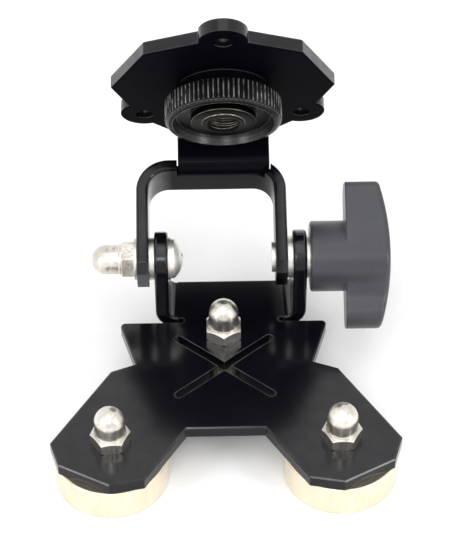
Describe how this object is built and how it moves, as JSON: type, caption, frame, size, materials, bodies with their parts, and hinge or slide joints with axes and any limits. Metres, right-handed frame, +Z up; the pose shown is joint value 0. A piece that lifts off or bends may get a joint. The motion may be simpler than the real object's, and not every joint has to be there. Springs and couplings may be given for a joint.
{
  "type": "magnetic tilting instrument mount",
  "caption": "Magnet-footed tilting mount: a three-armed base carries a U bracket with a clamp knob, and a round instrument seat clamped from below by a thumb wheel.",
  "frame": {"origin": "bottom centre of the whole object's box, on the plane of the magnet faces", "axes": "+Z up, +X along the tilt axis towards the clamp knob, -Y towards the two front feet"},
  "size_m": [0.0992, 0.117, 0.1079],
  "materials": {
    "powder_coated_steel": "satin black powder coat",
    "nickel_plate": "bright nickel plate",
    "plated_steel": "bright zinc plate",
    "magnet_face": "nickel-plated neodymium disc",
    "potting_resin": "cast epoxy",
    "moulded_nylon": "fine spark-textured moulding",
    "brass_insert": "turned brass",
    "black_anodised": "satin black anodise",
    "black_oxide_steel": "black oxide",
    "black_nylon": "black nylon sheet",
    "rubber_pad": "matt rubber"
  },
  "bodies": {
    "base": {"base_plate": "powder_coated_steel", "magnet_cup_left": "nickel_plate", "magnet_disc_left": "magnet_face", "magnet_resin_left": "potting_resin", "magnet_stud_left": "plated_steel", "foot_cap_nut_left": "nickel_plate", "magnet_cup_right": "nickel_plate", "magnet_disc_right": "magnet_face", "magnet_resin_right": "potting_resin", "magnet_stud_right": "plated_steel", "foot_cap_nut_right": "nickel_plate", "magnet_cup_rear": "nickel_plate", "magnet_disc_rear": "magnet_face", "magnet_resin_rear": "potting_resin", "magnet_stud_rear": "plated_steel", "foot_cap_nut_rear": "nickel_plate", "pivot_screw": "plated_steel", "pivot_head_washer": "plated_steel", "pivot_spacer_washer": "plated_steel", "pivot_nut_washer": "plated_steel", "pivot_cap_nut": "nickel_plate", "clamp_friction_washer": "plated_steel", "clamp_outer_washer": "plated_steel"},
    "bracket": {"tilt_bracket": "powder_coated_steel", "clamp_stud": "plated_steel"},
    "knob": {"knob_body": "moulded_nylon", "knob_insert": "brass_insert"},
    "head": {"head_plate": "black_anodised", "seat_disc": "black_anodised", "seat_pad": "rubber_pad", "seat_screws": "black_oxide_steel", "pan_disc": "black_nylon"},
    "wheel": {"thumb_wheel": "black_anodised", "hollow_stud": "black_oxide_steel", "stud_ring": "plated_steel", "wheel_washer": "black_nylon"}
  },
  "joints": [
    {"name": "tilt", "type": "hinge", "parent": "base", "child": "bracket", "pos_m": [0, 0.01335, 0.0316], "axis": [-1, 0, 0], "range_deg": [-80, 30]},
    {"name": "knob_turn", "type": "hinge", "parent": "bracket", "child": "knob", "pos_m": [0.0375, 0.01335, 0.0316], "axis": [1, 0, 0], "continuous": true},
    {"name": "head_pan", "type": "hinge", "parent": "bracket", "child": "head", "pos_m": [0.0008, 0.04066, 0.07327], "axis": [0, 0.9041, 0.4274], "continuous": true},
    {"name": "wheel_turn", "type": "hinge", "parent": "bracket", "child": "wheel", "pos_m": [0.0008, 0.03361, 0.06993], "axis": [0, 0.9041, 0.4274], "continuous": true}
  ]
}
